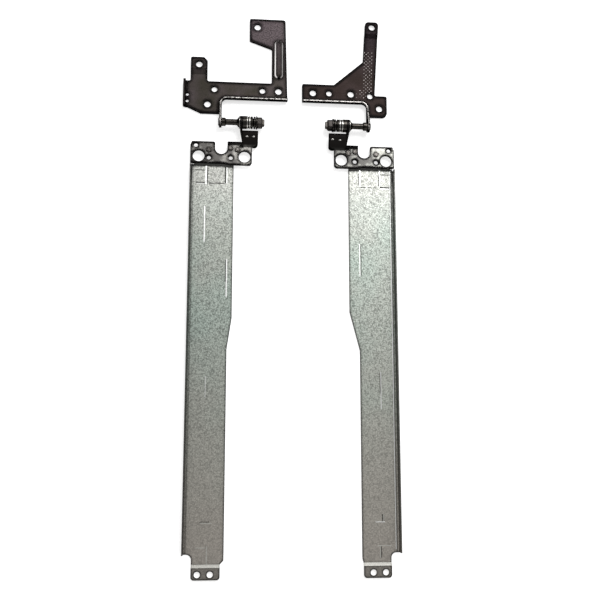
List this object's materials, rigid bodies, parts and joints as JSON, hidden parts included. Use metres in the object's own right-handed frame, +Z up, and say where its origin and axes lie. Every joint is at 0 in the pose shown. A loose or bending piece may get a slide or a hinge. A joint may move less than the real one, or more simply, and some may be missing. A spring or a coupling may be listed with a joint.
{
  "type": "laptop hinge pair",
  "caption": "Laptop lid hinges, left and right: stamped base brackets hold shafts with friction washers, on which slim flanged lid rails swing from flat open to shut.",
  "frame": {"origin": "middle of the pair's box across X and Y, on the bench under it", "axes": "+X across the pair from the left hinge to the right one, +Y from the lid rails to the base brackets, +Z up from the bench"},
  "size_m": [0.1032, 0.2694, 0.0073],
  "materials": {
    "dark_plate": "satin",
    "black_steel": "satin",
    "bright_washer": "polished",
    "spring_steel": "satin",
    "lid_plate": "satin",
    "galvanised_rail": "satin"
  },
  "bodies": {
    "bases": {"left_base_bracket": "dark_plate", "left_shaft": "black_steel", "left_inner_washer": "bright_washer", "left_thrust_washer": "black_steel", "left_first_friction_washer": "bright_washer", "left_spacer_washer": "black_steel", "left_second_friction_washer": "bright_washer", "left_disc_springs": "spring_steel", "left_end_washer": "black_steel", "left_lock_nut": "lid_plate", "right_base_bracket": "dark_plate", "right_shaft": "black_steel", "right_inner_washer": "bright_washer", "right_thrust_washer": "black_steel", "right_first_friction_washer": "bright_washer", "right_spacer_washer": "black_steel", "right_second_friction_washer": "bright_washer", "right_disc_springs": "spring_steel", "right_end_washer": "black_steel", "right_lock_nut": "lid_plate"},
    "left_lid": {"left_lid_bracket": "lid_plate", "left_lid_rivets": "lid_plate", "left_rail": "galvanised_rail"},
    "right_lid": {"right_lid_bracket": "lid_plate", "right_lid_rivets": "lid_plate", "right_rail": "galvanised_rail"}
  },
  "joints": [
    {"name": "left_hinge", "type": "hinge", "parent": "bases", "child": "left_lid", "pos_m": [-0.02545, 0.07835, 0.0041], "axis": [-1, 0, 0], "range_deg": [0, 180]},
    {"name": "right_hinge", "type": "hinge", "parent": "bases", "child": "right_lid", "pos_m": [0.03085, 0.07835, 0.0041], "axis": [-1, 0, 0], "range_deg": [0, 180]}
  ]
}
